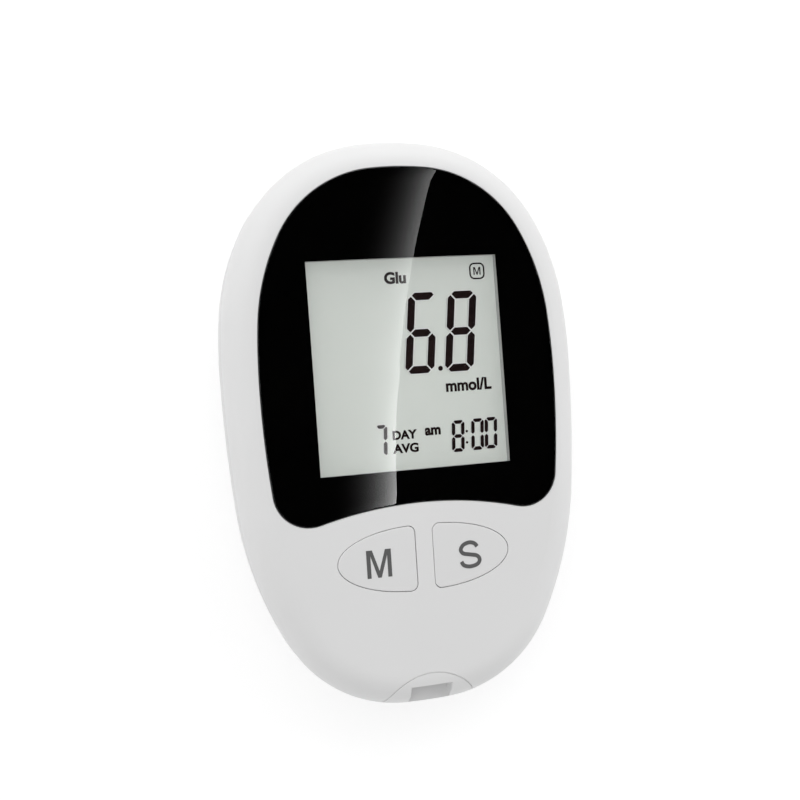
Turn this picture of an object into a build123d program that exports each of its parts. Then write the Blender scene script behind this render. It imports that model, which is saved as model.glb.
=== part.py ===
"""Blood glucose meter: an egg-shaped handheld case with a display window, two keys and a strip port.

Frame: X to the right, Y towards the display's top end, Z out of the display. The back rests on Z = 0.
All lengths are millimetres and all angles degrees.
"""

import os
from math import acos, atan2, cos, degrees, radians, sin

from build123d import *

# Case
body_length = 96.0
body_width = 61.2
body_thickness = 21.0
widest_y = 10.1
wall = 1.8
front_edge_radius = 5.8
back_edge_radius = 9.0
crown_radius_across = 380.0
crown_radius_along = 900.0
crown_y = 8.0
crown_half_turn = 5.0
parting_z = 12.0
lip_height = 1.2
lip_thickness = 0.8
seam_gap = 0.1
fit_gap = 0.15

# Each outline is a chain of four tangent arcs, given as radii over the half width and the angle, from
# the X axis, at which one arc hands over to the next. The fourth arc, the flank, follows from the rest.
UPPER_EGG = dict(tip=1.722, corner=0.834, shoulder=1.295, tip_end=83.6, corner_end=28.7)
LOWER_EGG = dict(tip=3.337, corner=0.732, shoulder=2.018, tip_end=87.9, corner_end=27.6)
LENS_DOME = dict(tip=2.059, corner=0.791, shoulder=1.475, tip_end=84.8, corner_end=28.4)

# Display window
lens_side_margin = 5.0
lens_top_margin = 5.1
lens_widest_y = 7.0
lens_thickness = 1.2
lens_gap = 0.06
lens_flank_radius = 167.0
lens_corner_radius = 6.0
lens_arch_radius = 65.0
lens_arch_y = -13.4
mask_thickness = 0.1
seat_thickness = 0.9
seat_margin = 1.2
window_width = 33.1
window_height = 35.5
window_y = 9.85
window_rib = 1.0
window_gap = 0.9
gasket_wall = 0.8

# Display stack, on the board
board_z = 13.8
board_thickness = 1.2
board_inset = 3.5
glass_width = 37.0
glass_height = 42.0
glass_y = 9.5
glass_thickness = 1.75
glass_ledge = 2.6
polariser_inset = 1.6
zebra_height = 1.0
zebra_width = 1.6
zebra_inset = 0.7
reflector_thickness = 0.2
holder_wall = 0.9
holder_lip = 0.3
holder_corner_radius = 2.0
stack_gap = 0.05

# Keys
key_y = -22.6
key_inner_x = 1.6
key_half_width = 13.2
key_half_height = 5.4
key_corner_radius = 1.1
key_gap = 0.15
key_travel = 0.4
key_cap_thickness = 1.5
key_flange_margin = 0.8
key_flange_thickness = 0.7
key_stop_gap = 0.25
key_wall = 0.8
switch_x = 7.6
switch_size = 4.5
switch_height = 1.3
switch_collar_height = 0.2
plunger_radius = 0.9
plunger_gap = 0.06
plunger_height = 0.55
switch_floor = 0.4
collar_wall = 0.4
key_leg_radius = 1.4

# Strip port
port_radius = 9.0
port_centre_y = -51.3
port_gap = 0.18
port_ear_reach = 2.2
port_ear_height = 2.2
port_ear_thickness = 1.0
mouth_width = 7.2
mouth_y = -44.4
strip_floor_z = 15.6
strip_slot_width = 6.9
strip_slot_height = 1.0
connector_width = 11.0
connector_length = 10.0
connector_height = 2.1
connector_y = -36.2
contact_count = 4
contact_pitch = 1.45
contact_width = 0.7
contact_thickness = 0.2
contact_foot = 1.0
contact_bow = 1.6
board_port_gap = 0.4

# Batteries and their bay
cell_radius = 5.25
cell_length = 44.5
cell_edge_radius = 0.6
nub_radius = 1.9
nub_length = 0.9
cell_pitch = 10.8
cell_gap = 0.2
bay_wall = 1.2
bay_y = 3.3
plate_thickness = 0.4
plate_width = 7.0
plate_height = 7.2
dimple_height = 0.6
dimple_radius = 1.5
spring_length = 4.7
spring_turns = 4.5
spring_wire_radius = 0.3
spring_wire_sides = 6
spring_base_radius = 3.1
spring_tip_radius = 1.9
tab_width = 2.6
bay_roof = 0.95
divider_height = 3.0
tab_standout = 0.5

# Battery door
door_recess = 0.15
door_thickness = 1.5
door_margin = 2.6
door_gap = 0.2
door_corner_radius = 2.5
door_rib_height = 0.2
door_spine_height = 2.0
spine_margin = 7.0
press_bar_length = 14.6
hinge_pin_radius = 0.5
hinge_pin_length = 1.1
hinge_gap = 0.06
latch_width = 9.0
latch_height = 5.0
latch_leaf = 0.8
latch_inner_radius = 0.9
latch_nose = 0.5
latch_nose_height = 1.8
latch_nose_z = 2.9
latch_clearance = 0.5
catch_gap = 0.15
grip_count = 5
grip_pitch = 2.4
grip_width = 0.8
grip_depth = 0.5
scoop_radius = 6.0
scoop_depth = 1.0
scoop_reach = 1.8
rib_thickness = 1.0
rib_pitch = 22.0
rib_count = 3
rib_top_z = 6.0

# Fasteners
case_screw_places = ((22.0, 25.0), (-22.0, 25.0), (15.8, -33.0), (-15.8, -33.0))
case_screw_radius = 1.0
case_screw_length = 9.5
case_head_radius = 1.8
case_head_height = 1.3
case_head_z = 4.4
counterbore_gap = 0.4
boss_radius = 2.4
boss_gap = 0.3
thread_gap = 0.05
post_wall = 0.9
board_screw_places = ((22.8, 4.0), (-22.8, 4.0), (9.4, -35.6), (-9.4, -35.6))
board_screw_radius = 0.9
board_screw_length = 3.2
board_head_radius = 1.6
board_head_height = 1.0
board_boss_radius = 1.9
cross_length = 2.2
cross_width = 0.45
cross_depth = 0.6
screw_tip = 0.45

# Parts on the board
chip_size = 9.0
chip_height = 1.4
chip_place = (19.2, 14.5)
lead_count = 8
lead_pitch = 0.95
lead_reach = 0.9
analogue_size = (5.0, 4.0, 1.4)
analogue_place = (18.6, -8.0)
memory_size = (4.9, 3.9, 1.3)
memory_place = (-18.6, -8.0)
crystal_radius = 1.0
crystal_length = 6.0
crystal_place = (-18.5, 20.0)
buzzer_radius = 4.5
buzzer_height = 2.6
buzzer_hole_radius = 0.8
buzzer_place = (-19.4, 12.0)
chip_standoff = 0.1
lead_width = 0.4
lead_thickness = 0.2
small_lead_pitch = 1.27
small_lead_count = 3
chip_part_width = 0.8
chip_part_length = 1.6
chip_part_height = 0.5
chip_part_pitch = 2.0
chip_part_count = 4
chip_part_rows = ((18.6, -16.5), (-18.6, -16.5), (0.0, -29.5))

# Derived sizes
half_width = body_width / 2
top_y = body_length / 2
upper_reach = top_y - widest_y
lower_reach = top_y + widest_y
lens_half_width = half_width - lens_side_margin
lens_reach = top_y - lens_top_margin - lens_widest_y
board_top = board_z + board_thickness
glass_z = board_top + zebra_height
glass_top = glass_z + glass_thickness
holder_top = glass_top + stack_gap + holder_lip
mask_inset = lens_thickness + mask_thickness
seat_inset = mask_inset + seat_thickness
flange_top_inset = wall + key_stop_gap
bay_length = 2 * plate_thickness + dimple_height + cell_length + spring_length
bay_low_y = bay_y - bay_length / 2
bay_high_y = bay_y + bay_length / 2
bay_half_width = cell_pitch / 2 + cell_radius + cell_gap
bay_wall_x = bay_half_width + bay_wall
door_inner_z = door_recess + door_thickness
cell_z = door_inner_z + door_rib_height + cell_radius + stack_gap
bay_top_z = cell_z + cell_radius + cell_gap + bay_roof
latch_low_y = bay_high_y + bay_wall + latch_clearance
latch_reach = 2 * latch_leaf + 2 * latch_inner_radius
latch_high_y = latch_low_y + latch_reach
door_low_y = bay_low_y - door_margin
door_high_y = latch_low_y + latch_leaf
door_half_width = bay_half_width + door_margin
hinge_y = door_low_y + door_thickness / 2
hinge_z = door_recess + door_thickness / 2
well_high_y = latch_high_y + latch_nose + latch_clearance
catch_y = latch_high_y + latch_nose + catch_gap
catch_z = latch_nose_z - latch_nose - catch_gap
pad_top_z = door_inner_z + door_gap + wall
latch_bend_y = latch_low_y + latch_leaf + latch_inner_radius
latch_bend_z = door_inner_z + latch_height - latch_inner_radius - latch_leaf
well_half_x = latch_width / 2 + latch_clearance
well_top_z = door_inner_z + latch_height + latch_clearance
hinge_end_radius = door_thickness / 2 - thread_gap
grip_y = door_high_y - grip_count * grip_pitch / 2 - grip_pitch
post_radius = case_head_radius + counterbore_gap + post_wall
case_screw_size = (case_screw_radius, case_screw_length, case_head_radius, case_head_height)
board_screw_size = (board_screw_radius, board_screw_length, board_head_radius, board_head_height)
case_hole_top = case_head_z + case_screw_length + thread_gap
board_hole_top = board_z + board_screw_length + thread_gap
tab_x = cell_pitch / 2 - (plate_width - tab_width) / 2
tab_y = bay_low_y + plate_thickness / 2
tab_top_z = board_top + tab_standout
spring_rise = spring_length - 2 * (spring_wire_radius + stack_gap)
port_ear_x = port_radius + port_ear_reach
port_ear_y = mouth_y + port_ear_thickness
ledge_z = glass_z + glass_thickness / 2
lower_glass_low_y = glass_y - glass_height / 2 + glass_ledge
lower_glass_high_y = glass_y + glass_height / 2 - glass_ledge
connector_low_y = connector_y - connector_length / 2
connector_high_y = connector_y + connector_length / 2
connector_top = board_top + connector_height
switch_top_z = board_top + switch_height + switch_collar_height
switch_floor_z = board_top + switch_floor
plunger_top_z = switch_top_z + plunger_height
collar_radius = plunger_radius + plunger_gap + collar_wall


def arc_end(centre, radius, angle):
    """Point of a circle at an angle from the X axis."""
    return centre + Vector(cos(radians(angle)), sin(radians(angle))) * radius


def bearing(start, end):
    """Angle of the way from one point to another, from the X axis."""
    return degrees(atan2(end.Y - start.Y, end.X - start.X))


def quarter_arcs(half_size, reach, shape):
    """The four tangent arcs from a tip at (0, reach) to the widest point at (half_size, 0).

    Each is (centre, radius, angle where it starts, angle where it ends).
    """
    tip, corner, shoulder = (shape[name] * half_size for name in ("tip", "corner", "shoulder"))
    tip_centre = Vector(0, reach - tip)
    corner_centre = arc_end(tip_centre, tip - corner, shape["tip_end"])
    shoulder_centre = arc_end(corner_centre, corner - shoulder, shape["corner_end"])
    # The flank's centre lies on the X axis, and the flank passes through the widest point.
    offset_x = shoulder_centre.X - half_size
    flank = (shoulder**2 - offset_x**2 - shoulder_centre.Y**2) / (2 * (offset_x + shoulder))
    flank_centre = Vector(half_size - flank, 0)
    flank_start = bearing(flank_centre, shoulder_centre)
    return (
        (tip_centre, tip, 90, shape["tip_end"]),
        (corner_centre, corner, shape["tip_end"], shape["corner_end"]),
        (shoulder_centre, shoulder, shape["corner_end"], flank_start),
        (flank_centre, flank, flank_start, 0),
    )


def draw_quarter(arcs, base_y, side, inset):
    """Draws a quarter's arcs above (side 1) or below (side -1) base_y, pulled in by inset."""
    for centre, radius, start, end in arcs:
        middle = (centre.X, base_y + side * centre.Y)
        CenterArc(middle, radius - inset, side * end, side * (start - end))


def meeting(centre_a, distance_a, centre_b, distance_b):
    """Point at given distances from two centres, to the right of the way from a to b."""
    way = centre_b - centre_a
    cosine = (way.length**2 + distance_a**2 - distance_b**2) / (2 * way.length * distance_a)
    return arc_end(centre_a, distance_a, bearing(centre_a, centre_b) - degrees(acos(cosine)))


upper_arcs = quarter_arcs(half_width, upper_reach, UPPER_EGG)
lower_arcs = quarter_arcs(half_width, lower_reach, LOWER_EGG)
lens_arcs = quarter_arcs(lens_half_width, lens_reach, LENS_DOME)


def egg_profile(inset):
    """Outline of the case, pulled in by inset."""
    with BuildSketch() as profile:
        with BuildLine():
            draw_quarter(upper_arcs, widest_y, 1, inset)
            draw_quarter(lower_arcs, widest_y, -1, inset)
            mirror(about=Plane.YZ)
        make_face()
    return profile.sketch


def lens_profile(growth):
    """Outline of the display window: a dome above, and a bottom edge that arches up over the keys."""
    flank_centre = Vector(lens_half_width - lens_flank_radius, lens_widest_y)
    arch_centre = Vector(0, lens_arch_y - lens_arch_radius)
    corner_centre = meeting(
        arch_centre,
        lens_arch_radius + lens_corner_radius,
        flank_centre,
        lens_flank_radius - lens_corner_radius,
    )
    flank_end = bearing(flank_centre, corner_centre)
    arch_start = bearing(arch_centre, corner_centre)
    corner_turn = flank_end - (arch_start - 180)
    with BuildSketch() as profile:
        with BuildLine():
            draw_quarter(lens_arcs, lens_widest_y, 1, -growth)
            CenterArc(flank_centre, lens_flank_radius + growth, 0, flank_end)
            CenterArc(corner_centre, lens_corner_radius + growth, flank_end, -corner_turn)
            CenterArc(arch_centre, lens_arch_radius - growth, arch_start, 90 - arch_start)
            mirror(about=Plane.YZ)
        make_face()
    return profile.sketch


def key_profile(side, growth):
    """Half oval of one key, with its straight edge facing the other key."""
    with BuildSketch() as profile:
        with Locations((side * key_inner_x, key_y)):
            Ellipse(key_half_width + growth, key_half_height + growth)
        with Locations((side * (key_inner_x + key_half_width - growth), key_y)):
            Rectangle(2 * key_half_width, 4 * key_half_height, mode=Mode.INTERSECT)
        inner = profile.vertices().filter_by(lambda corner: abs(corner.Y - key_y) > key_half_height / 2)
        fillet(inner, key_corner_radius + growth)
    return profile.sketch


def crown(inset):
    """All that lies inset or more below the double-curved front surface."""
    pivot = Vector(0, crown_y, body_thickness - crown_radius_along)
    half_turn = radians(crown_half_turn)
    start = Plane(pivot, x_dir=(1, 0, 0), z_dir=(0, -cos(half_turn), sin(half_turn)))
    reach = body_width
    radius = crown_radius_across - inset
    rise = (radius**2 - reach**2) ** 0.5
    top = crown_radius_along - inset
    edge = top - radius + rise
    floor = top - 2 * body_thickness
    with BuildPart() as dome:
        with BuildSketch(start):
            with BuildLine():
                Spline((-reach, edge), (0, top), (reach, edge), tangents=[(rise, reach), (rise, -reach)])
                Polyline((reach, edge), (reach, floor), (-reach, floor), (-reach, edge))
            make_face()
        revolve(axis=Axis(pivot, (1, 0, 0)), revolution_arc=2 * crown_half_turn)
    return dome.part


def pebble(inset):
    """The case's rounded form, pulled in by inset all over."""
    with BuildPart() as form:
        with BuildSketch(Plane.XY.offset(inset)):
            add(egg_profile(inset))
        extrude(amount=body_thickness)
        add(crown(inset), mode=Mode.INTERSECT)
        fillet(form.faces().sort_by(Axis.Z)[-1].edges(), front_edge_radius - inset)
        fillet(form.faces().sort_by(Axis.Z)[0].edges(), back_edge_radius - inset)
    return form.part


def skin(profile, outer_form, inner_form):
    """The stretch of a profile's prism that lies inside the outer form and outside the inner one."""
    with BuildPart() as piece:
        with BuildSketch(Plane.XY.offset(parting_z)):
            add(profile)
        extrude(amount=body_thickness)
        if outer_form is not None:
            add(outer_form, mode=Mode.INTERSECT)
        add(inner_form, mode=Mode.SUBTRACT)
    return piece.part


def hollow(profile, form):
    """The stretch of a profile's prism that lies inside a form."""
    with BuildPart() as piece:
        with BuildSketch(Plane.XY.offset(parting_z)):
            add(profile)
        extrude(amount=body_thickness)
        add(form, mode=Mode.INTERSECT)
    return piece.part


def block(half_x, low_y, high_y, low_z, high_z):
    """Box centred on X = 0, given by where it starts and ends."""
    with BuildPart() as solid:
        with BuildSketch(Plane.XY.offset(low_z)):
            with Locations((0, (low_y + high_y) / 2)):
                Rectangle(2 * half_x, high_y - low_y)
        extrude(amount=high_z - low_z)
    return solid.part


def door_profile(growth):
    """Outline of the battery door: square at its hinge, rounded at its latch."""
    with BuildSketch() as profile:
        with Locations((0, (door_low_y + door_high_y) / 2)):
            Rectangle(2 * (door_half_width + growth), door_high_y - door_low_y + 2 * growth)
        fillet(profile.vertices().group_by(Axis.Y)[-1], door_corner_radius + growth)
    return profile.sketch


def posts(places, radius, low_z, high_z):
    """Upright round posts at the given places."""
    with BuildPart() as group:
        with BuildSketch(Plane.XY.offset(low_z)):
            with Locations(*places):
                Circle(radius)
        extrude(amount=high_z - low_z)
    return group.part


os.makedirs("parts", exist_ok=True)

outer_form = pebble(0)
lens_back_form = pebble(lens_thickness)
mask_back_form = pebble(mask_inset)
gasket_form = pebble(mask_inset + stack_gap)
inner_form = pebble(wall)
clear_form = pebble(wall + fit_gap)
seat_back_form = pebble(seat_inset)
holder_form = pebble(seat_inset + stack_gap)

# The keys lie clear of the rounded edge, so the crown alone shapes them
key_top_form = crown(0)
key_skin_form = crown(wall / 2)
cap_back_form = crown(key_cap_thickness)
flange_top_form = crown(flange_top_inset)
flange_back_form = crown(flange_top_inset + key_flange_thickness)

# Upper half of the case: window seat, light rib, key openings, port opening and screw bosses
with BuildPart() as front_cavity:
    add(inner_form)
    split(bisect_by=Plane.XY.offset(parting_z), keep=Keep.TOP)
    # Rebate for the lower half's lip
    with BuildSketch(Plane.XY.offset(parting_z)):
        add(egg_profile(wall - lip_thickness - seam_gap))
    extrude(amount=lip_height + seam_gap)
    add(skin(lens_profile(seat_margin), None, seat_back_form), mode=Mode.SUBTRACT)
    add(posts(case_screw_places, boss_radius, parting_z, body_thickness), mode=Mode.SUBTRACT)
    add(posts(board_screw_places, board_boss_radius, board_top, body_thickness), mode=Mode.SUBTRACT)
    # The rib keeps light from the inside off the display
    with BuildSketch(Plane.XY.offset(holder_top + stack_gap)):
        with Locations((0, window_y)):
            Rectangle(
                window_width + 2 * (window_gap + window_rib),
                window_height + 2 * (window_gap + window_rib),
            )
    extrude(amount=body_thickness - seat_inset - holder_top - stack_gap, mode=Mode.SUBTRACT)
    add(posts(case_screw_places, case_screw_radius + thread_gap, parting_z, case_hole_top))
    add(posts(board_screw_places, board_screw_radius + thread_gap, board_top, board_hole_top))

with BuildPart() as front_shell:
    add(outer_form)
    split(bisect_by=Plane.XY.offset(parting_z), keep=Keep.TOP)
    add(skin(lens_profile(lens_gap), None, mask_back_form), mode=Mode.SUBTRACT)
    with BuildSketch(Plane.XY.offset(parting_z - seam_gap)):
        with Locations((0, window_y)):
            Rectangle(window_width + 2 * window_gap, window_height + 2 * window_gap)
        with Locations((0, port_centre_y)):
            Circle(port_radius + port_gap)
        for side in (-1, 1):
            add(key_profile(side, key_gap))
    extrude(amount=body_thickness, mode=Mode.SUBTRACT)
    add(front_cavity.part, mode=Mode.SUBTRACT)
front_shell.part.label = "front_shell"
export_step(front_shell.part, "parts/front_shell.step")

# Lower half of the case: battery bay, door seat, latch well, screw posts and ribs
with BuildPart() as rear_cavity:
    add(inner_form)
    split(bisect_by=Plane.XY.offset(parting_z + wall), keep=Keep.BOTTOM)
    add(posts(case_screw_places, post_radius, 0, parting_z), mode=Mode.SUBTRACT)
    pad_half_x = door_half_width + door_gap + wall
    add(
        block(pad_half_x, door_low_y - door_gap - wall, door_high_y + door_gap + wall, 0, pad_top_z),
        mode=Mode.SUBTRACT,
    )
    add(
        block(bay_wall_x, bay_low_y - bay_wall, bay_high_y + bay_wall, 0, parting_z),
        mode=Mode.SUBTRACT,
    )
    add(
        block(well_half_x + bay_wall, bay_high_y, well_high_y + bay_wall, 0, well_top_z + bay_wall),
        mode=Mode.SUBTRACT,
    )
    with BuildSketch(Plane.XY):
        with GridLocations(0, rib_pitch, 1, rib_count):
            Rectangle(body_width, rib_thickness)
    extrude(amount=rib_top_z, mode=Mode.SUBTRACT)

with BuildPart() as rear_shell:
    add(outer_form)
    split(bisect_by=Plane.XY.offset(parting_z), keep=Keep.BOTTOM)
    # Lip that centres the upper half, left out at the strip port
    with BuildSketch(Plane.XY.offset(parting_z)):
        add(egg_profile(wall - lip_thickness))
        with Locations((0, port_centre_y)):
            Circle(port_radius + port_gap, mode=Mode.SUBTRACT)
    extrude(amount=lip_height)
    add(rear_cavity.part, mode=Mode.SUBTRACT)
    # Bay roof, above the parting plane
    add(block(bay_wall_x, bay_low_y - bay_wall, bay_high_y + bay_wall, parting_z, bay_top_z))
    # Seat of the door, and the way in to the cells
    with BuildSketch(Plane.XY):
        add(door_profile(door_gap))
    extrude(amount=door_inner_z + door_gap, mode=Mode.SUBTRACT)
    add(block(bay_half_width, bay_low_y, bay_high_y, 0, cell_z), mode=Mode.SUBTRACT)
    add(
        block(cell_pitch / 2, bay_low_y, bay_high_y, 0, cell_z + divider_height),
        mode=Mode.SUBTRACT,
    )
    # Half-round cradles over the cells
    with BuildSketch(Plane.XZ.offset(-bay_high_y)):
        with Locations((-cell_pitch / 2, cell_z), (cell_pitch / 2, cell_z)):
            Circle(cell_radius + cell_gap)
    extrude(amount=bay_length, mode=Mode.SUBTRACT)
    # Slots in the roof for the contacts and for their tabs
    slot_half_x = (cell_pitch + plate_width) / 2 + cell_gap
    slot_top_z = cell_z + plate_height / 2 + cell_gap
    slot_depth = plate_thickness + cell_gap
    for slot_y in (bay_low_y, bay_high_y - slot_depth):
        add(block(slot_half_x, slot_y, slot_y + slot_depth, cell_z, slot_top_z), mode=Mode.SUBTRACT)
    with BuildSketch(Plane.XY.offset(cell_z)):
        with Locations((-tab_x, bay_low_y + slot_depth / 2), (tab_x, bay_low_y + slot_depth / 2)):
            Rectangle(tab_width + cell_gap, slot_depth)
    extrude(amount=bay_top_z - cell_z, mode=Mode.SUBTRACT)
    # Well that the latch stands in, with a lip that the nose hooks behind and a scoop for a fingertip
    add(block(well_half_x, bay_high_y + bay_wall, catch_y, 0, well_top_z), mode=Mode.SUBTRACT)
    add(block(well_half_x, catch_y, well_high_y, catch_z, well_top_z), mode=Mode.SUBTRACT)
    with BuildSketch(Plane.YZ.offset(-well_half_x)):
        with Locations((well_high_y + scoop_reach / 2, scoop_depth - scoop_radius)):
            Circle(scoop_radius)
    extrude(amount=2 * well_half_x, mode=Mode.SUBTRACT)
    # Bores for the hinge pins
    with BuildSketch(Plane.YZ.offset(-door_half_width - hinge_pin_length - door_gap)):
        with Locations((hinge_y, hinge_z)):
            Circle(hinge_pin_radius + hinge_gap)
    extrude(amount=2 * (door_half_width + hinge_pin_length + door_gap), mode=Mode.SUBTRACT)
    # Counterbored holes for the case screws
    add(posts(case_screw_places, case_head_radius + counterbore_gap, 0, case_head_z), mode=Mode.SUBTRACT)
    add(posts(case_screw_places, case_screw_radius + boss_gap, 0, parting_z), mode=Mode.SUBTRACT)
rear_shell.part.label = "rear_shell"
export_step(rear_shell.part, "parts/rear_shell.step")

# Display window, and the black print on its back
with BuildPart() as window_lens:
    add(skin(lens_profile(0), outer_form, lens_back_form))
window_lens.part.label = "window_lens"
export_step(window_lens.part, "parts/window_lens.step")

with BuildPart() as lens_mask:
    add(skin(lens_profile(0), lens_back_form, mask_back_form))
    with BuildSketch(Plane.XY.offset(parting_z)):
        with Locations((0, window_y)):
            Rectangle(window_width, window_height)
    extrude(amount=body_thickness, mode=Mode.SUBTRACT)
lens_mask.part.label = "lens_mask"
export_step(lens_mask.part, "parts/lens_mask.step")

# Insert that forms the mouth of the strip port, held behind the wall by an ear on each side
with BuildPart() as strip_port_insert:
    with BuildSketch(Plane.XY.offset(parting_z)):
        with Locations((0, port_centre_y)):
            Circle(port_radius)
    extrude(amount=body_thickness)
    add(outer_form, mode=Mode.INTERSECT)
    with BuildPart(mode=Mode.PRIVATE) as ears:
        with BuildSketch(Plane.XY.offset(parting_z)):
            with Locations((0, (mouth_y + port_ear_y) / 2)):
                Rectangle(2 * port_ear_x, port_ear_y - mouth_y)
        extrude(amount=port_ear_height)
        add(clear_form, mode=Mode.INTERSECT)
    add(ears.part)
    # Mouth that guides the strip, and the slot behind it
    add(block(mouth_width / 2, -body_length, mouth_y, strip_floor_z, body_thickness), mode=Mode.SUBTRACT)
    add(
        block(strip_slot_width / 2, mouth_y, widest_y, strip_floor_z, strip_floor_z + strip_slot_height),
        mode=Mode.SUBTRACT,
    )
strip_port_insert.part.label = "strip_port_insert"
export_step(strip_port_insert.part, "parts/strip_port_insert.step")

# Display: two glass plates, the upper one longer, so that its ends rest on the conductive strips
with BuildPart() as lcd_panel:
    add(block(glass_width / 2, glass_y - glass_height / 2, glass_y + glass_height / 2, ledge_z, glass_top))
    add(block(glass_width / 2, lower_glass_low_y, lower_glass_high_y, glass_z, ledge_z))
lcd_panel.part.label = "lcd_panel"
export_step(lcd_panel.part, "parts/lcd_panel.step")

with BuildPart() as lcd_reflector:
    add(
        block(
            glass_width / 2 - polariser_inset,
            lower_glass_low_y + polariser_inset,
            lower_glass_high_y - polariser_inset,
            glass_z - reflector_thickness,
            glass_z,
        )
    )
lcd_reflector.part.label = "lcd_reflector"
export_step(lcd_reflector.part, "parts/lcd_reflector.step")

with BuildPart() as zebra_strips:
    with BuildSketch(Plane.XY.offset(board_top)):
        with Locations((0, glass_y)):
            with GridLocations(0, glass_height - 2 * zebra_inset - zebra_width, 1, 2):
                Rectangle(glass_width - 2 * zebra_inset, zebra_width)
    extrude(amount=ledge_z - board_top)
zebra_strips.part.label = "zebra_strips"
export_step(zebra_strips.part, "parts/zebra_strips.step")

# Frame that clamps the display to the board
with BuildPart() as lcd_holder:
    with BuildSketch(Plane.XY.offset(board_top)):
        with Locations((0, glass_y)):
            RectangleRounded(
                glass_width + 2 * (stack_gap + holder_wall),
                glass_height + 2 * (stack_gap + holder_wall),
                holder_corner_radius,
            )
    extrude(amount=holder_top - board_top)
    add(holder_form, mode=Mode.INTERSECT)
    with BuildSketch(Plane.XY.offset(board_top)):
        with Locations((0, glass_y)):
            Rectangle(glass_width + 2 * stack_gap, glass_height + 2 * stack_gap)
    extrude(amount=glass_top + stack_gap - board_top, mode=Mode.SUBTRACT)
    with BuildSketch(Plane.XY.offset(board_top)):
        with Locations((0, window_y)):
            Rectangle(window_width + 2 * window_gap, window_height + 2 * window_gap)
    extrude(amount=body_thickness, mode=Mode.SUBTRACT)
lcd_holder.part.label = "lcd_holder"
export_step(lcd_holder.part, "parts/lcd_holder.step")

# Foam gasket round the window, between the display and the black print
with BuildPart() as window_gasket:
    with BuildSketch(Plane.XY.offset(glass_top)):
        with Locations((0, window_y)):
            Rectangle(
                window_width + 2 * (stack_gap + gasket_wall),
                window_height + 2 * (stack_gap + gasket_wall),
            )
            Rectangle(window_width + 2 * stack_gap, window_height + 2 * stack_gap, mode=Mode.SUBTRACT)
    extrude(amount=body_thickness - glass_top)
    add(gasket_form, mode=Mode.INTERSECT)
window_gasket.part.label = "window_gasket"
export_step(window_gasket.part, "parts/window_gasket.step")

# Circuit board, with clearance for the case screws' bosses, the port insert and the contacts' tabs
with BuildPart() as main_pcb:
    with BuildSketch(Plane.XY.offset(board_z)):
        add(egg_profile(board_inset))
        with Locations(*case_screw_places):
            Circle(boss_radius + boss_gap, mode=Mode.SUBTRACT)
        with Locations(*board_screw_places):
            Circle(board_screw_radius + thread_gap, mode=Mode.SUBTRACT)
        with Locations((0, port_centre_y + port_radius + board_port_gap - body_length / 2)):
            Rectangle(body_width, body_length, mode=Mode.SUBTRACT)
        with Locations((-tab_x, tab_y), (tab_x, tab_y)):
            Rectangle(tab_width + cell_gap, plate_thickness + cell_gap, mode=Mode.SUBTRACT)
    extrude(amount=board_thickness)
main_pcb.part.label = "main_pcb"
export_step(main_pcb.part, "parts/main_pcb.step")


def chip(place, width, length, height, pitch, rows, columns):
    """Packaged chip under the board, with leads in rows along its sides and columns along its ends."""
    with BuildPart() as package:
        with BuildSketch(Plane.XY.offset(board_z - height)):
            with Locations(place):
                Rectangle(width, length)
        extrude(amount=height - chip_standoff)
        with BuildSketch(Plane.XY.offset(board_z - lead_thickness)):
            with Locations(place):
                with GridLocations(0, pitch, 1, rows):
                    Rectangle(width + 2 * lead_reach, lead_width)
                if columns:
                    with GridLocations(pitch, 0, columns, 1):
                        Rectangle(lead_width, length + 2 * lead_reach)
                Rectangle(width - 2 * lead_width, length - 2 * lead_width, mode=Mode.SUBTRACT)
        extrude(amount=lead_thickness)
    return package.part


with BuildPart() as microcontroller:
    add(chip(chip_place, chip_size, chip_size, chip_height, lead_pitch, lead_count, lead_count))
microcontroller.part.label = "microcontroller"
export_step(microcontroller.part, "parts/microcontroller.step")

with BuildPart() as analogue_chip:
    add(chip(analogue_place, *analogue_size, small_lead_pitch, small_lead_count, 0))
analogue_chip.part.label = "analogue_chip"
export_step(analogue_chip.part, "parts/analogue_chip.step")

with BuildPart() as memory_chip:
    add(chip(memory_place, *memory_size, small_lead_pitch, small_lead_count, 0))
memory_chip.part.label = "memory_chip"
export_step(memory_chip.part, "parts/memory_chip.step")

with BuildPart() as crystal:
    with BuildSketch(Plane.XZ.offset(crystal_length / 2 - crystal_place[1])):
        with Locations((crystal_place[0], board_z - crystal_radius)):
            Circle(crystal_radius)
    extrude(amount=-crystal_length)
crystal.part.label = "crystal"
export_step(crystal.part, "parts/crystal.step")

with BuildPart() as chip_parts:
    with BuildSketch(Plane.XY.offset(board_z - chip_part_height)):
        with Locations(*chip_part_rows):
            with GridLocations(chip_part_pitch, 0, chip_part_count, 1):
                Rectangle(chip_part_width, chip_part_length)
    extrude(amount=chip_part_height)
chip_parts.part.label = "chip_parts"
export_step(chip_parts.part, "parts/chip_parts.step")

with BuildPart() as buzzer:
    add(posts((buzzer_place,), buzzer_radius, board_z - buzzer_height, board_z))
    add(
        posts((buzzer_place,), buzzer_hole_radius, board_z - buzzer_height, board_z - lead_thickness),
        mode=Mode.SUBTRACT,
    )
buzzer.part.label = "buzzer"
export_step(buzzer.part, "parts/buzzer.step")

# Connector that the strip's end slides into, and its spring contacts
with BuildPart() as strip_connector:
    add(block(connector_width / 2, connector_low_y, connector_high_y, board_top, connector_top))
    add(
        block(
            strip_slot_width / 2,
            connector_low_y,
            connector_high_y,
            strip_floor_z,
            strip_floor_z + strip_slot_height,
        ),
        mode=Mode.SUBTRACT,
    )
strip_connector.part.label = "strip_connector"
export_step(strip_connector.part, "parts/strip_connector.step")

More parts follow.
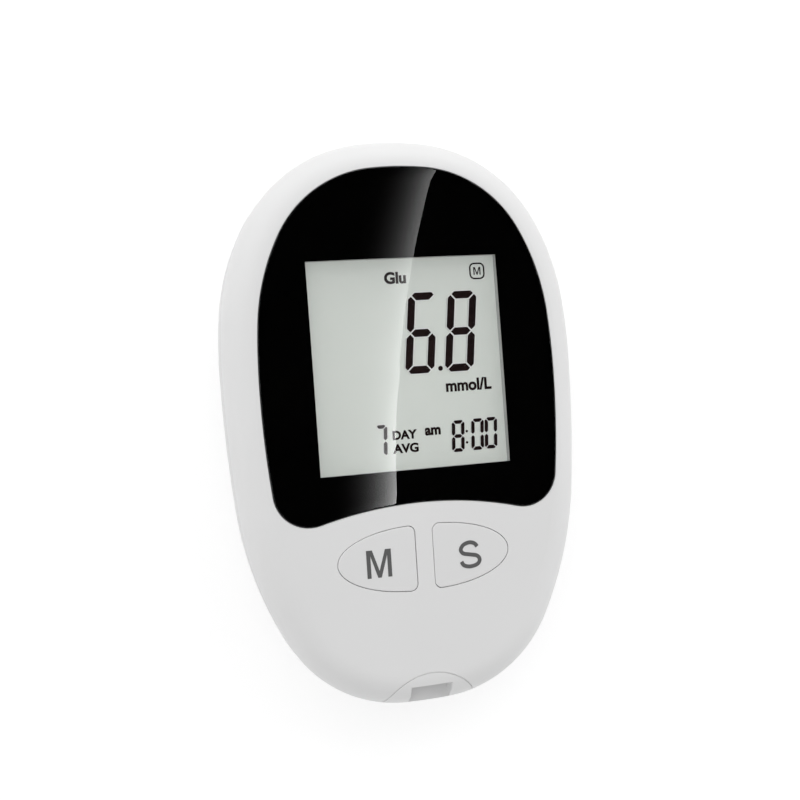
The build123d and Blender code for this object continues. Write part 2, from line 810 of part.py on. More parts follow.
contact_foot_z = board_top + contact_thickness / 2
contact_low_z = strip_floor_z + contact_thickness
contact_bend_y = connector_high_y + contact_thickness
with BuildPart() as strip_contacts:
    for place in range(contact_count):
        contact_x = (place - (contact_count - 1) / 2) * contact_pitch - contact_width / 2
        with BuildSketch(Plane.YZ.offset(contact_x)):
            with BuildLine():
                Polyline(
                    (contact_bend_y + contact_foot, contact_foot_z),
                    (contact_bend_y, contact_foot_z),
                    (contact_bend_y, contact_low_z),
                    (connector_y, contact_low_z),
                    (connector_y - contact_bow, strip_floor_z + strip_slot_height - contact_thickness),
                    (connector_y - 2 * contact_bow, contact_low_z),
                )
            trace(line_width=contact_thickness)
        extrude(amount=contact_width)
strip_contacts.part.label = "strip_contacts"
export_step(strip_contacts.part, "parts/strip_contacts.step")

# Keys: hollow caps with a flange that stops them under the case, and a leg that presses the switch
with BuildPart() as memory_button:
    add(skin(key_profile(-1, 0), key_top_form, flange_back_form))
    add(skin(key_profile(-1, key_gap + key_flange_margin), flange_top_form, flange_back_form))
    add(hollow(key_profile(-1, -key_wall), cap_back_form), mode=Mode.SUBTRACT)
    with BuildPart(mode=Mode.PRIVATE) as leg:
        add(posts(((-switch_x, key_y),), key_leg_radius, plunger_top_z + thread_gap, body_thickness))
        add(key_skin_form, mode=Mode.INTERSECT)
    add(leg.part)
memory_button.part.label = "memory_button"
export_step(memory_button.part, "parts/memory_button.step")

with BuildPart() as set_button:
    mirror(memory_button.part, about=Plane.YZ)
set_button.part.label = "set_button"
export_step(set_button.part, "parts/set_button.step")

# Each key's switch on the board, and the switch's moving plunger
for name, side in (("memory", -1), ("set", 1)):
    switch_place = (side * switch_x, key_y)
    with BuildPart() as switch:
        with BuildSketch(Plane.XY.offset(board_top)):
            with Locations(switch_place):
                Rectangle(switch_size, switch_size)
        extrude(amount=switch_height)
        add(posts((switch_place,), collar_radius, board_top, switch_top_z))
        add(
            posts((switch_place,), plunger_radius + plunger_gap, switch_floor_z, switch_top_z),
            mode=Mode.SUBTRACT,
        )
    switch.part.label = f"{name}_switch"
    export_step(switch.part, f"parts/{name}_switch.step")

    with BuildPart() as plunger:
        add(posts((switch_place,), plunger_radius, switch_floor_z + key_travel + thread_gap, plunger_top_z))
    plunger.part.label = f"{name}_switch_plunger"
    export_step(plunger.part, f"parts/{name}_switch_plunger.step")

# Cells, laid head to tail; side 1 points its nub at the display's top end
for name, side in (("left", -1), ("right", 1)):
    foot_y = bay_y - side * (bay_length / 2 - plate_thickness - spring_length)
    foot = Plane((side * cell_pitch / 2, foot_y, cell_z), z_dir=(0, side, 0))
    with BuildPart() as battery:
        with BuildSketch(foot):
            Circle(cell_radius)
        extrude(amount=cell_length - nub_length)
        fillet(battery.edges().filter_by(GeomType.CIRCLE), cell_edge_radius)
        with BuildSketch(foot.offset(cell_length - nub_length)):
            Circle(nub_radius)
        extrude(amount=nub_length)
    battery.part.label = f"battery_{name}"
    export_step(battery.part, f"parts/battery_{name}.step")

# Coil springs that press on the cells' flat ends
with BuildPart() as battery_springs:
    for side in (-1, 1):
        plate_y = bay_y - side * (bay_length / 2 - plate_thickness - spring_wire_radius - stack_gap)
        coil = Helix(
            pitch=spring_rise / spring_turns,
            height=spring_rise,
            radius=spring_base_radius,
            center=(side * cell_pitch / 2, plate_y, cell_z),
            direction=(0, side, 0),
            cone_angle=-degrees(atan2(spring_base_radius - spring_tip_radius, spring_rise)),
        )
        # The round wire is drawn with few sides, to keep the coils light
        with BuildSketch(Plane(coil @ 0, z_dir=coil % 0)):
            RegularPolygon(spring_wire_radius, spring_wire_sides)
        sweep(path=coil, is_frenet=True)
battery_springs.part.label = "battery_springs"
export_step(battery_springs.part, "parts/battery_springs.step")

# Contact plates: two with tabs to the board at the lower end, one bridge at the upper end
with BuildPart() as battery_terminals:
    with BuildSketch(Plane.XZ.offset(-bay_low_y)):
        with Locations((-cell_pitch / 2, cell_z), (cell_pitch / 2, cell_z)):
            Rectangle(plate_width, plate_height)
        with Locations((-tab_x, (cell_z + tab_top_z) / 2), (tab_x, (cell_z + tab_top_z) / 2)):
            Rectangle(tab_width, tab_top_z - cell_z)
    extrude(amount=-plate_thickness)
    with BuildSketch(Plane.XZ.offset(-bay_low_y - plate_thickness)):
        with Locations((-cell_pitch / 2, cell_z)):
            Circle(dimple_radius)
    extrude(amount=-dimple_height)
battery_terminals.part.label = "battery_terminals"
export_step(battery_terminals.part, "parts/battery_terminals.step")

with BuildPart() as battery_bridge:
    with BuildSketch(Plane.XZ.offset(-bay_high_y)):
        with Locations((0, cell_z)):
            Rectangle(cell_pitch + plate_width, plate_height)
    extrude(amount=plate_thickness)
    with BuildSketch(Plane.XZ.offset(plate_thickness - bay_high_y)):
        with Locations((cell_pitch / 2, cell_z)):
            Circle(dimple_radius)
    extrude(amount=dimple_height)
battery_bridge.part.label = "battery_bridge"
export_step(battery_bridge.part, "parts/battery_bridge.step")

# Battery door: plate with hinge pins at its lower end and a sprung latch tongue at its upper end
with BuildPart() as battery_door:
    with BuildSketch(Plane.XY.offset(door_recess)):
        add(door_profile(0))
    extrude(amount=door_thickness)
    fillet(battery_door.edges().group_by(Axis.Y)[0].filter_by(Axis.X), hinge_end_radius)
    # Stiffening rib between the cells, and bars that press on them
    add(
        block(
            rib_thickness / 2,
            bay_low_y + spine_margin,
            bay_high_y - spine_margin,
            door_inner_z,
            door_inner_z + door_spine_height,
        )
    )
    with BuildSketch(Plane.XY.offset(door_inner_z)):
        with Locations((0, bay_y)):
            with GridLocations(0, bay_length / 2, 1, 2):
                Rectangle(press_bar_length, rib_thickness)
    extrude(amount=door_rib_height)
    # Hinge pins
    with BuildSketch(Plane.YZ.offset(-door_half_width - hinge_pin_length)):
        with Locations((hinge_y, hinge_z)):
            Circle(hinge_pin_radius)
    extrude(amount=2 * (door_half_width + hinge_pin_length))
    # Latch: an upturned U whose outer leaf carries the nose and the finger pad
    with BuildSketch(Plane.YZ.offset(-latch_width / 2)):
        with Locations((latch_bend_y, latch_bend_z)):
            Circle(latch_inner_radius + latch_leaf)
        with Locations((latch_bend_y, (latch_bend_z + door_recess) / 2)):
            Rectangle(2 * (latch_inner_radius + latch_leaf), latch_bend_z - door_recess)
        with Locations((latch_bend_y, latch_bend_z)):
            Circle(latch_inner_radius, mode=Mode.SUBTRACT)
        with Locations((latch_bend_y, (latch_bend_z + door_recess) / 2)):
            Rectangle(2 * latch_inner_radius, latch_bend_z - door_recess, mode=Mode.SUBTRACT)
        with BuildLine():
            Polyline(
                (latch_high_y, latch_nose_z - latch_nose),
                (latch_high_y + latch_nose, latch_nose_z),
                (latch_high_y, latch_nose_z - latch_nose + latch_nose_height),
                close=True,
            )
        make_face()
    extrude(amount=latch_width)
    # Grooves for a fingertip
    with BuildSketch(Plane.XY.offset(door_recess)):
        with Locations((0, grip_y)):
            with GridLocations(0, grip_pitch, 1, grip_count):
                SlotOverall(latch_width, grip_width)
    extrude(amount=grip_depth, mode=Mode.SUBTRACT)
battery_door.part.label = "battery_door"
export_step(battery_door.part, "parts/battery_door.step")


def screws(places, seat_z, size):
    """Cross-head screws pointing up from a seat. The size is radius, length, head radius and head height."""
    radius, length, head_radius, head_height = size
    with BuildPart() as group:
        add(posts(places, radius, seat_z, seat_z + length))
        chamfer(group.edges().group_by(Axis.Z)[-1], screw_tip)
        add(posts(places, head_radius, seat_z - head_height, seat_z))
        with BuildSketch(Plane.XY.offset(seat_z - head_height)):
            with Locations(*places):
                Rectangle(cross_length, cross_width)
                Rectangle(cross_width, cross_length)
        extrude(amount=cross_depth, mode=Mode.SUBTRACT)
    return group.part


with BuildPart() as case_screws:
    add(screws(case_screw_places, case_head_z, case_screw_size))
case_screws.part.label = "case_screws"
export_step(case_screws.part, "parts/case_screws.step")

with BuildPart() as board_screws:
    add(screws(board_screw_places, board_z, board_screw_size))
board_screws.part.label = "board_screws"
export_step(board_screws.part, "parts/board_screws.step")
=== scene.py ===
"""Looks of the blood glucose meter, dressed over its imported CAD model.

Frame: metres, X to the right of the display, Y towards its top end, Z out of it. The back lies on Z = 0.
"""

import math

import bmesh
import bpy
from mathutils import Matrix, Vector


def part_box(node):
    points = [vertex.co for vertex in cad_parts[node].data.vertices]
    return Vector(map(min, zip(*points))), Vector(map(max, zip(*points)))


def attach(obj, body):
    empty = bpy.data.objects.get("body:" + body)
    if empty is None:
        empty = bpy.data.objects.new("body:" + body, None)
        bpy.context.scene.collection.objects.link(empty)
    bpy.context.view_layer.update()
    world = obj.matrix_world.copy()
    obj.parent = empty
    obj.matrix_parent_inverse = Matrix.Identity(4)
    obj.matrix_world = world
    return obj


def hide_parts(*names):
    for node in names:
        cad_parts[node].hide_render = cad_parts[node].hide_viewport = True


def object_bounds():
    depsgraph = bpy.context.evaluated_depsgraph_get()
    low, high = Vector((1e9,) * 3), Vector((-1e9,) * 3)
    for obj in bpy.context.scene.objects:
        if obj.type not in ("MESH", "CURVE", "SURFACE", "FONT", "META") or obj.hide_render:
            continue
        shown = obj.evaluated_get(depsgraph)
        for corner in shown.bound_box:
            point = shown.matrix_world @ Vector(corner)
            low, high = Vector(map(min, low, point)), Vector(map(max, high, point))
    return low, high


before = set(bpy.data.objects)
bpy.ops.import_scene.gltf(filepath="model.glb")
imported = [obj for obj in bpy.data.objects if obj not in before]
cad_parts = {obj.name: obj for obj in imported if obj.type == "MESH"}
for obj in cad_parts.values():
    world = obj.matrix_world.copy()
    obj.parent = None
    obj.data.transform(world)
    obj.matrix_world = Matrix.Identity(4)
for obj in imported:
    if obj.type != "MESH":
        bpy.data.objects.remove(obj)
cad_box = [list(corner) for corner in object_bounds()]

MM = 0.001

# Camera: a 50 mm lens over a 36 mm sensor, turned and moved as the meter is seen
FOCAL_MM = 50.0
SENSOR_MM = 36.0
YAW_DEG = 15.18
PITCH_DEG = 0.27
ROLL_DEG = 4.15
CAMERA_PLACE = Vector((-50.83, 4.75, 199.02)) * MM

# Front surface of the case, in millimetres: its top and the radii of its crown
CASE_TOP = cad_box[1][2] / MM
CROWN_ACROSS = 380.0
CROWN_ALONG = 900.0
CROWN_Y = 8.0

# Painted line where the two halves of the case meet, in metres
PARTING_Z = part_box("front_shell")[0][2]
PARTING_LINE = 0.12 * MM
PARTING_SHADE = (0.30, 0.30, 0.30)

# Display: the top of its glass, in millimetres, and how far its figures lean
GLASS_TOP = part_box("lcd_panel")[1][2] / MM
BIG_SLANT = math.tan(math.radians(6.6))
SMALL_SLANT = math.tan(math.radians(3.5))


# ---------------------------------------------------------------- materials
def new_material(name):
    """A material with its nodes, its links and its Principled shader."""
    material = bpy.data.materials.new(name)
    material.use_nodes = True
    nodes = material.node_tree.nodes
    return material, nodes, material.node_tree.links, nodes["Principled BSDF"]


def arithmetic(nodes, links, operation, *terms):
    """Output of a maths node whose terms are numbers or other nodes' outputs."""
    node = nodes.new("ShaderNodeMath")
    node.operation = operation
    for socket, term in zip(node.inputs, terms):
        if isinstance(term, (int, float)):
            socket.default_value = term
        else:
            links.new(term, socket)
    return node.outputs["Value"]


def noise(nodes, links, scale, detail=3.0):
    """A noise texture in the object's own coordinates, with scale in grains per metre."""
    place = nodes.new("ShaderNodeTexCoord")
    texture = nodes.new("ShaderNodeTexNoise")
    texture.inputs["Scale"].default_value = scale
    texture.inputs["Detail"].default_value = detail
    links.new(place.outputs["Object"], texture.inputs["Vector"])
    return texture


def spread(nodes, links, source, low, high):
    """Maps a noise's middle range to low and high."""
    noise_low, noise_high = 0.3, 0.7
    span = nodes.new("ShaderNodeMapRange")
    span.inputs["From Min"].default_value = noise_low
    span.inputs["From Max"].default_value = noise_high
    span.inputs["To Min"].default_value = low
    span.inputs["To Max"].default_value = high
    links.new(source, span.inputs["Value"])
    return span.outputs["Result"]


def varied_colour(nodes, links, source, first, second):
    """A colour that drifts between two shades with a noise."""
    mix = nodes.new("ShaderNodeMix")
    mix.data_type = "RGBA"
    mix.inputs["A"].default_value = (*first, 1)
    mix.inputs["B"].default_value = (*second, 1)
    links.new(spread(nodes, links, source, 0, 1), mix.inputs["Factor"])
    return mix.outputs["Result"]


def bump(nodes, links, shader, source, height, strength):
    """Gives a shader a fine relief, with height in metres."""
    relief = nodes.new("ShaderNodeBump")
    relief.inputs["Distance"].default_value = height
    relief.inputs["Strength"].default_value = strength
    links.new(source, relief.inputs["Height"])
    links.new(relief.outputs["Normal"], shader.inputs["Normal"])


def parting_line(nodes, links, colour):
    """Darkens a colour in a thin line where the two halves of the case meet."""
    place = nodes.new("ShaderNodeTexCoord")
    parts = nodes.new("ShaderNodeSeparateXYZ")
    links.new(place.outputs["Object"], parts.inputs["Vector"])
    near = arithmetic(nodes, links, "COMPARE", parts.outputs["Z"], PARTING_Z, PARTING_LINE / 2)
    mix = nodes.new("ShaderNodeMix")
    mix.data_type = "RGBA"
    links.new(near, mix.inputs["Factor"])
    links.new(colour, mix.inputs["A"])
    mix.inputs["B"].default_value = (*PARTING_SHADE, 1)
    return mix.outputs["Result"]


def moulded_plastic(
    name, colour, roughness, grain=9000.0, grain_height=2e-6, drift=0.015, specular=0.5,
    parted=False, glow=0.0,
):
    """Moulded plastic: a fine spark-eroded grain, faint flow marks and uneven gloss."""
    flow_scale, gloss_drift, grain_strength = 60.0, 0.03, 0.25
    material, nodes, links, shader = new_material(name)
    shader.inputs["Specular IOR Level"].default_value = specular
    shader.inputs["Emission Color"].default_value = (*colour, 1)
    shader.inputs["Emission Strength"].default_value = glow
    flow = noise(nodes, links, flow_scale, detail=4.0)
    grains = noise(nodes, links, grain, detail=2.0)
    darker = tuple(max(channel - drift, 0.0) for channel in colour)
    tint = varied_colour(nodes, links, flow.outputs["Fac"], colour, darker)
    if parted:
        tint = parting_line(nodes, links, tint)
    links.new(tint, shader.inputs["Base Color"])
    links.new(
        spread(nodes, links, flow.outputs["Fac"], roughness - gloss_drift, roughness + gloss_drift),
        shader.inputs["Roughness"],
    )
    bump(nodes, links, shader, grains.outputs["Fac"], grain_height, grain_strength)
    return material


def brushed_metal(name, colour, roughness):
    """Drawn or plated metal with fine scratches along X."""
    scratches, scratch_height, scratch_strength = (40.0, 900.0, 900.0), 3e-6, 0.3
    gloss_drift, darkest = 0.06, 0.85
    material, nodes, links, shader = new_material(name)
    shader.inputs["Metallic"].default_value = 1.0
    grain = noise(nodes, links, 1.0, detail=4.0)
    stretch = nodes.new("ShaderNodeMapping")
    stretch.inputs["Scale"].default_value = scratches
    place = nodes.new("ShaderNodeTexCoord")
    links.new(place.outputs["Object"], stretch.inputs["Vector"])
    links.new(stretch.outputs["Vector"], grain.inputs["Vector"])
    darker = tuple(channel * darkest for channel in colour)
    tint = varied_colour(nodes, links, grain.outputs["Fac"], colour, darker)
    links.new(tint, shader.inputs["Base Color"])
    links.new(
        spread(nodes, links, grain.outputs["Fac"], roughness - gloss_drift, roughness + gloss_drift),
        shader.inputs["Roughness"],
    )
    bump(nodes, links, shader, grain.outputs["Fac"], scratch_height, scratch_strength)
    return material


def clear_lens(name):
    """Polished clear acrylic. It casts no shadow, so that light reaches the display behind it."""
    haze_scale, haze_tint, haze_roughness = 300.0, (0.985, 0.99, 0.988), 0.015
    material, nodes, links, shader = new_material(name)
    haze = noise(nodes, links, haze_scale, detail=2.0)
    shader.inputs["Transmission Weight"].default_value = 1.0
    shader.inputs["IOR"].default_value = 1.49
    tint = varied_colour(nodes, links, haze.outputs["Fac"], (1.0, 1.0, 1.0), haze_tint)
    links.new(tint, shader.inputs["Base Color"])
    links.new(spread(nodes, links, haze.outputs["Fac"], 0.0, haze_roughness), shader.inputs["Roughness"])
    rays = nodes.new("ShaderNodeLightPath")
    clear = nodes.new("ShaderNodeBsdfTransparent")
    mix = nodes.new("ShaderNodeMixShader")
    links.new(rays.outputs["Is Shadow Ray"], mix.inputs["Fac"])
    links.new(shader.outputs["BSDF"], mix.inputs[1])
    links.new(clear.outputs["BSDF"], mix.inputs[2])
    links.new(mix.outputs["Shader"], nodes["Material Output"].inputs["Surface"])
    return material


def circuit_board(name):
    """Green solder mask over a pattern of copper tracks."""
    weave_scale, smoothest, roughest = 1500.0, 0.25, 0.38
    track_height, track_strength = 2e-5, 0.4
    material, nodes, links, shader = new_material(name)
    place = nodes.new("ShaderNodeTexCoord")
    tracks = nodes.new("ShaderNodeTexBrick")
    tracks.inputs["Scale"].default_value = 260.0
    tracks.inputs["Mortar Size"].default_value = 0.03
    tracks.inputs["Color1"].default_value = (0.012, 0.12, 0.045, 1)
    tracks.inputs["Color2"].default_value = (0.016, 0.15, 0.055, 1)
    tracks.inputs["Mortar"].default_value = (0.04, 0.28, 0.10, 1)
    links.new(place.outputs["Object"], tracks.inputs["Vector"])
    links.new(tracks.outputs["Color"], shader.inputs["Base Color"])
    weave = noise(nodes, links, weave_scale, detail=2.0)
    links.new(spread(nodes, links, weave.outputs["Fac"], smoothest, roughest), shader.inputs["Roughness"])
    bump(nodes, links, shader, tracks.outputs["Fac"], track_height, track_strength)
    return material


def dress(material, *nodes):
    """Gives CAD nodes a material, in every slot."""
    for name in nodes:
        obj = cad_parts[name]
        if not obj.data.materials:
            obj.data.materials.append(material)
        for slot in obj.material_slots:
            slot.material = material


case_white = moulded_plastic("case_white", (0.76, 0.76, 0.76), 0.36, parted=True)
key_white = moulded_plastic("key_white", (0.745, 0.745, 0.745), 0.38)
back_white = moulded_plastic(
    "back_white", (0.755, 0.755, 0.755), 0.42, grain=5000.0, grain_height=5e-6, parted=True,
)
print_black = moulded_plastic("print_black", (0.0015, 0.0015, 0.0015), 0.6, drift=0.0005, specular=0.0)
# Grey foam gasket lining the window. Its grey also stands in for the shade that falls on the window's side
# wall, as painted shade
gasket_grey_and_painted_shade = moulded_plastic(
    "gasket_foam", (0.50, 0.505, 0.50), 0.8, grain=3000.0, grain_height=2e-5, specular=0.2,
)
key_print = moulded_plastic("key_print", (0.098, 0.098, 0.098), 0.5, drift=0.01)
# The display's ground gives off a little light, which evens out the shade of the window's edge
ground_green = moulded_plastic(
    "lcd_ground", (0.64, 0.67, 0.635), 0.6, grain=4000.0, grain_height=5e-7, specular=0.1, glow=0.3,
)
segment_ink = moulded_plastic("lcd_ink", (0.014, 0.006, 0.006), 0.5, drift=0.002, specular=0.1)
# Painted light on the display's figures: a pale rim round each one is a painted highlight, and a grey copy
# to its left is a painted shadow
segment_painted_highlight = moulded_plastic("lcd_painted_highlight", (0.98, 0.99, 0.98), 0.5, drift=0.01, specular=0.1)
segment_shade = moulded_plastic("lcd_shade", (0.52, 0.56, 0.52), 0.5, drift=0.01, specular=0.1)
white_plastic = moulded_plastic("inner_white", (0.8, 0.8, 0.79), 0.5)
black_plastic = moulded_plastic("chip_black", (0.02, 0.02, 0.021), 0.45, drift=0.006)
rubber = moulded_plastic("zebra_rubber", (0.55, 0.28, 0.33), 0.7, drift=0.05)
cell_jacket = moulded_plastic("cell_jacket", (0.045, 0.055, 0.075), 0.3, drift=0.01)
steel = brushed_metal("plated_steel", (0.72, 0.72, 0.71), 0.28)
zinc = brushed_metal("zinc_screws", (0.55, 0.55, 0.56), 0.33)
gold = brushed_metal("gold_contacts", (0.95, 0.68, 0.30), 0.25)
board_green = circuit_board("solder_mask")
lens_clear = clear_lens("clear_lens")

dress(case_white, "front_shell", "strip_port_insert")
dress(back_white, "rear_shell", "battery_door")
dress(gasket_grey_and_painted_shade, "window_gasket")
dress(ground_green, "lcd_panel")
dress(white_plastic, "lcd_holder", "lcd_reflector")
dress(rubber, "zebra_strips")
dress(board_green, "main_pcb")
dress(black_plastic, "microcontroller", "analogue_chip", "memory_chip", "chip_parts", "buzzer")
dress(black_plastic, "strip_connector", "memory_switch_plunger", "set_switch_plunger")
dress(steel, "crystal", "memory_switch", "set_switch")
dress(steel, "battery_springs", "battery_terminals", "battery_bridge")
dress(zinc, "case_screws", "board_screws")
dress(gold, "strip_contacts")
dress(cell_jacket, "battery_left", "battery_right")


def crown_z(x, y):
    """Height of the meter's double-curved front at a place in millimetres."""
    return CASE_TOP - x * x / (2 * CROWN_ACROSS) - (y - CROWN_Y) ** 2 / (2 * CROWN_ALONG)


# ---------------------------------------------------------------- window, keys and port
def point_at(centre, radius, turn):
    """Point of a circle at a bearing in degrees from the X axis."""
    return centre + Vector((math.cos(math.radians(turn)), math.sin(math.radians(turn)))) * radius


def bearing(start, end):
    """Bearing of end from start, in degrees from the X axis."""
    return math.degrees(math.atan2(end.y - start.y, end.x - start.x))


def below_crown(outline, depth):
    """An outline laid a depth under the front surface."""
    return [(x, y, crown_z(x, y) - depth) for x, y in outline]


def between(first, second, share):
    """Points that lie a share of the way from one outline to another of as many points."""
    return [(a[0] + (b[0] - a[0]) * share, a[1] + (b[1] - a[1]) * share) for a, b in zip(first, second)]


def shrunk(outline, centre, share):
    """An outline drawn in towards a centre, to a share of its size."""
    return between([centre] * len(outline), outline, share)


# Edges sharper than this stay crisp under smooth shading
SHARP_DEG = 32.0


def ring_solid(name, rings, closed, material, body):
    """A smooth solid of rings with as many points each, in millimetres.

    A closed one joins its last ring to its first, and an open one has a flat face at either end.
    """
    mesh = bpy.data.meshes.new(name)
    form = bmesh.new()
    rows = [[form.verts.new(Vector(point) * MM) for point in ring] for ring in rings]
    pairs = list(zip(rows, rows[1:]))
    if closed:
        pairs.append((rows[-1], rows[0]))
    else:
        form.faces.new(rows[0])
        form.faces.new(rows[-1][::-1])
    for upper, lower in pairs:
        for index in range(len(upper)):
            following = (index + 1) % len(upper)
            form.faces.new((upper[index], upper[following], lower[following], lower[index]))
    bmesh.ops.recalc_face_normals(form, faces=form.faces)
    form.to_mesh(mesh)
    form.free()
    mesh.shade_smooth()
    mesh.set_sharp_from_angle(angle=math.radians(SHARP_DEG))
    mesh.materials.append(material)
    piece = bpy.data.objects.new(name, mesh)
    bpy.context.scene.collection.objects.link(piece)
    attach(piece, body)
    return piece


# Window, in millimetres: a dome of tangent arcs over its widest line, and a bottom edge that arches up
# over the keys. The dome's radii are shares of the half width, and each END is the bearing where that arc
# stops, in degrees
LENS_WIDEST_Y = 7.0
LENS_HALF_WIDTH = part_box("window_lens")[1][0] / MM
LENS_TOP_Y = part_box("window_lens")[1][1] / MM
LENS_THICKNESS, MASK_THICKNESS = 1.2, 0.1
DOME_TIP, DOME_CORNER, DOME_SHOULDER = (share * LENS_HALF_WIDTH for share in (2.059, 0.791, 1.475))
DOME_TIP_END, DOME_CORNER_END = 84.8, 28.4
FLANK_RADIUS, FOOT_RADIUS = 167.0, 6.0
ARCH_RADIUS, ARCH_Y = 65.0, -13.4
OUTLINE_STEP = 0.8
# Clear opening in the black print, over the display
WINDOW_CENTRE = (0.0, 9.85)
WINDOW_HALF_SIZE = (16.55, 17.75)


def lens_arcs():
    """Arcs of the right half, from the top to the bottom middle.

    Each has a centre, a radius, the sign of its growth, and the bearings where it starts and ends.
    """
    tip_centre = Vector((0, LENS_TOP_Y - DOME_TIP))
    corner_centre = point_at(tip_centre, DOME_TIP - DOME_CORNER, DOME_TIP_END)
    shoulder_centre = point_at(corner_centre, DOME_CORNER - DOME_SHOULDER, DOME_CORNER_END)
    across = shoulder_centre.x - LENS_HALF_WIDTH
    rise = shoulder_centre.y - LENS_WIDEST_Y
    side = (DOME_SHOULDER**2 - across**2 - rise**2) / (2 * (across + DOME_SHOULDER))
    side_centre = Vector((LENS_HALF_WIDTH - side, LENS_WIDEST_Y))
    side_start = bearing(side_centre, shoulder_centre)
    flank_centre = Vector((LENS_HALF_WIDTH - FLANK_RADIUS, LENS_WIDEST_Y))
    arch_centre = Vector((0, ARCH_Y - ARCH_RADIUS))
    way = flank_centre - arch_centre
    near, far = ARCH_RADIUS + FOOT_RADIUS, FLANK_RADIUS - FOOT_RADIUS
    opening = math.degrees(math.acos((way.length**2 + near**2 - far**2) / (2 * way.length * near)))
    foot_centre = point_at(arch_centre, near, bearing(arch_centre, flank_centre) - opening)
    flank_end = bearing(flank_centre, foot_centre)
    arch_start = bearing(arch_centre, foot_centre)
    return (
        (tip_centre, DOME_TIP, 1, 90, DOME_TIP_END),
        (corner_centre, DOME_CORNER, 1, DOME_TIP_END, DOME_CORNER_END),
        (shoulder_centre, DOME_SHOULDER, 1, DOME_CORNER_END, side_start),
        (side_centre, side, 1, side_start, 0),
        (flank_centre, FLANK_RADIUS, 1, 0, flank_end),
        (foot_centre, FOOT_RADIUS, 1, flank_end, arch_start - 180),
        (arch_centre, ARCH_RADIUS, -1, arch_start, 90),
    )


def lens_outline(growth):
    """Outline of the window, moved outwards by growth. It has as many points at any growth."""
    right = []
    for centre, radius, sign, start, end in lens_arcs():
        steps = max(4, round(radius * math.radians(abs(end - start)) / OUTLINE_STEP))
        reach = radius + sign * growth
        turns = [start + (end - start) * step / steps for step in range(steps)]
        right += [tuple(point_at(centre, reach, turn)) for turn in turns]
    right.append((0.0, ARCH_Y - growth))
    return right + [(-x, y) for x, y in right[-2:0:-1]]


def onto_window(outline):
    """Each point of an outline brought in to the window's edge, with the corners kept square."""
    least_distance = 1e-6
    middle_x, middle_y = WINDOW_CENTRE
    half_x, half_y = WINDOW_HALF_SIZE
    edge = []
    for x, y in outline:
        away_x, away_y = x - middle_x, y - middle_y
        share = min(half_x / max(abs(away_x), least_distance), half_y / max(abs(away_y), least_distance))
        edge.append((middle_x + away_x * share, middle_y + away_y * share))
    for corner in ((i * half_x + middle_x, j * half_y + middle_y) for i in (-1, 1) for j in (-1, 1)):
        nearest = min(range(len(edge)), key=lambda index: math.dist(edge[index], corner))
        edge[nearest] = corner
    return edge


def add_window():
    """The window with a rounded rim, and the black print that its back carries."""
    rim_width, rim_radius, middle = 0.28, 0.8, (0.0, 12.0)
    face_shares = (0.04, 0.14, 0.28, 0.42, 0.56, 0.7, 0.84, 0.94)
    rim_insets = (rim_width, 0.22, 0.16, 0.1, 0.05, 0.0)
    face = lens_outline(-rim_width)
    rings = [below_crown(shrunk(face, middle, share), 0) for share in face_shares]
    for inset in rim_insets:
        rings.append(below_crown(lens_outline(-inset), (rim_width - inset) ** 2 / (2 * rim_radius)))
    rings.append(below_crown(lens_outline(0), LENS_THICKNESS))
    rings += [below_crown(shrunk(face, middle, share), LENS_THICKNESS) for share in face_shares[::-1]]
    lens = ring_solid("display_window", rings, False, lens_clear, "root")
    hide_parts("window_lens")
    # The print starts a hair inside the window's back, so that no air lies between them
    bond, tuck, steps = 0.03, 0.005, 6
    outer = lens_outline(-tuck)
    inner = onto_window(outer)
    spans = [between(inner, outer, step / steps) for step in range(steps + 1)]
    front = [below_crown(span, LENS_THICKNESS - bond) for span in spans]
    back = [below_crown(span, LENS_THICKNESS + MASK_THICKNESS) for span in spans[::-1]]
    print_piece = ring_solid("window_print", front + back, True, print_black, "root")
    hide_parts("lens_mask")


# Keys, in millimetres: half ovals with a softened edge, a stop flange under the case and a leg over the
# switch. KEY_SKIN is how far they stand out past the modelled keys, which makes the gap round them finer
KEY_Y, KEY_INNER_X = -22.6, 1.6
KEY_HALF_WIDTH, KEY_HALF_HEIGHT, KEY_CORNER = 13.2, 5.4, 1.1
KEY_SKIN, KEY_EDGE_RADIUS = 0.05, 0.14
FLANGE_GROWTH, FLANGE_TOP, FLANGE_BACK = 0.95, 2.05, 2.75
LEG_X, LEG_RADIUS = 7.6, 1.4


def key_outline(side, growth):
    """Half oval of a key, with its straight edge facing the other key."""
    half_width, half_height = KEY_HALF_WIDTH + growth, KEY_HALF_HEIGHT + growth
    radius = KEY_CORNER + growth
    centre_u = radius - growth
    centre_v = half_height * math.sqrt(1 - (centre_u / half_width) ** 2) - radius
    corner_steps, oval_steps = 8, 60
    upper = []
    for step in range(corner_steps):
        turn = math.pi - math.pi / 2 * step / corner_steps
        upper.append((centre_u + radius * math.cos(turn), centre_v + radius * math.sin(turn)))
    widest_turn = math.acos(centre_u / half_width)
    for step in range(oval_steps):
        turn = widest_turn * (1 - step / oval_steps)
        upper.append((half_width * math.cos(turn), half_height * math.sin(turn)))
    tip = (half_width, 0.0)
    local = upper + [tip] + [(u, -v) for u, v in reversed(upper)]
    return [(side * (KEY_INNER_X + u), KEY_Y + v) for u, v in local]


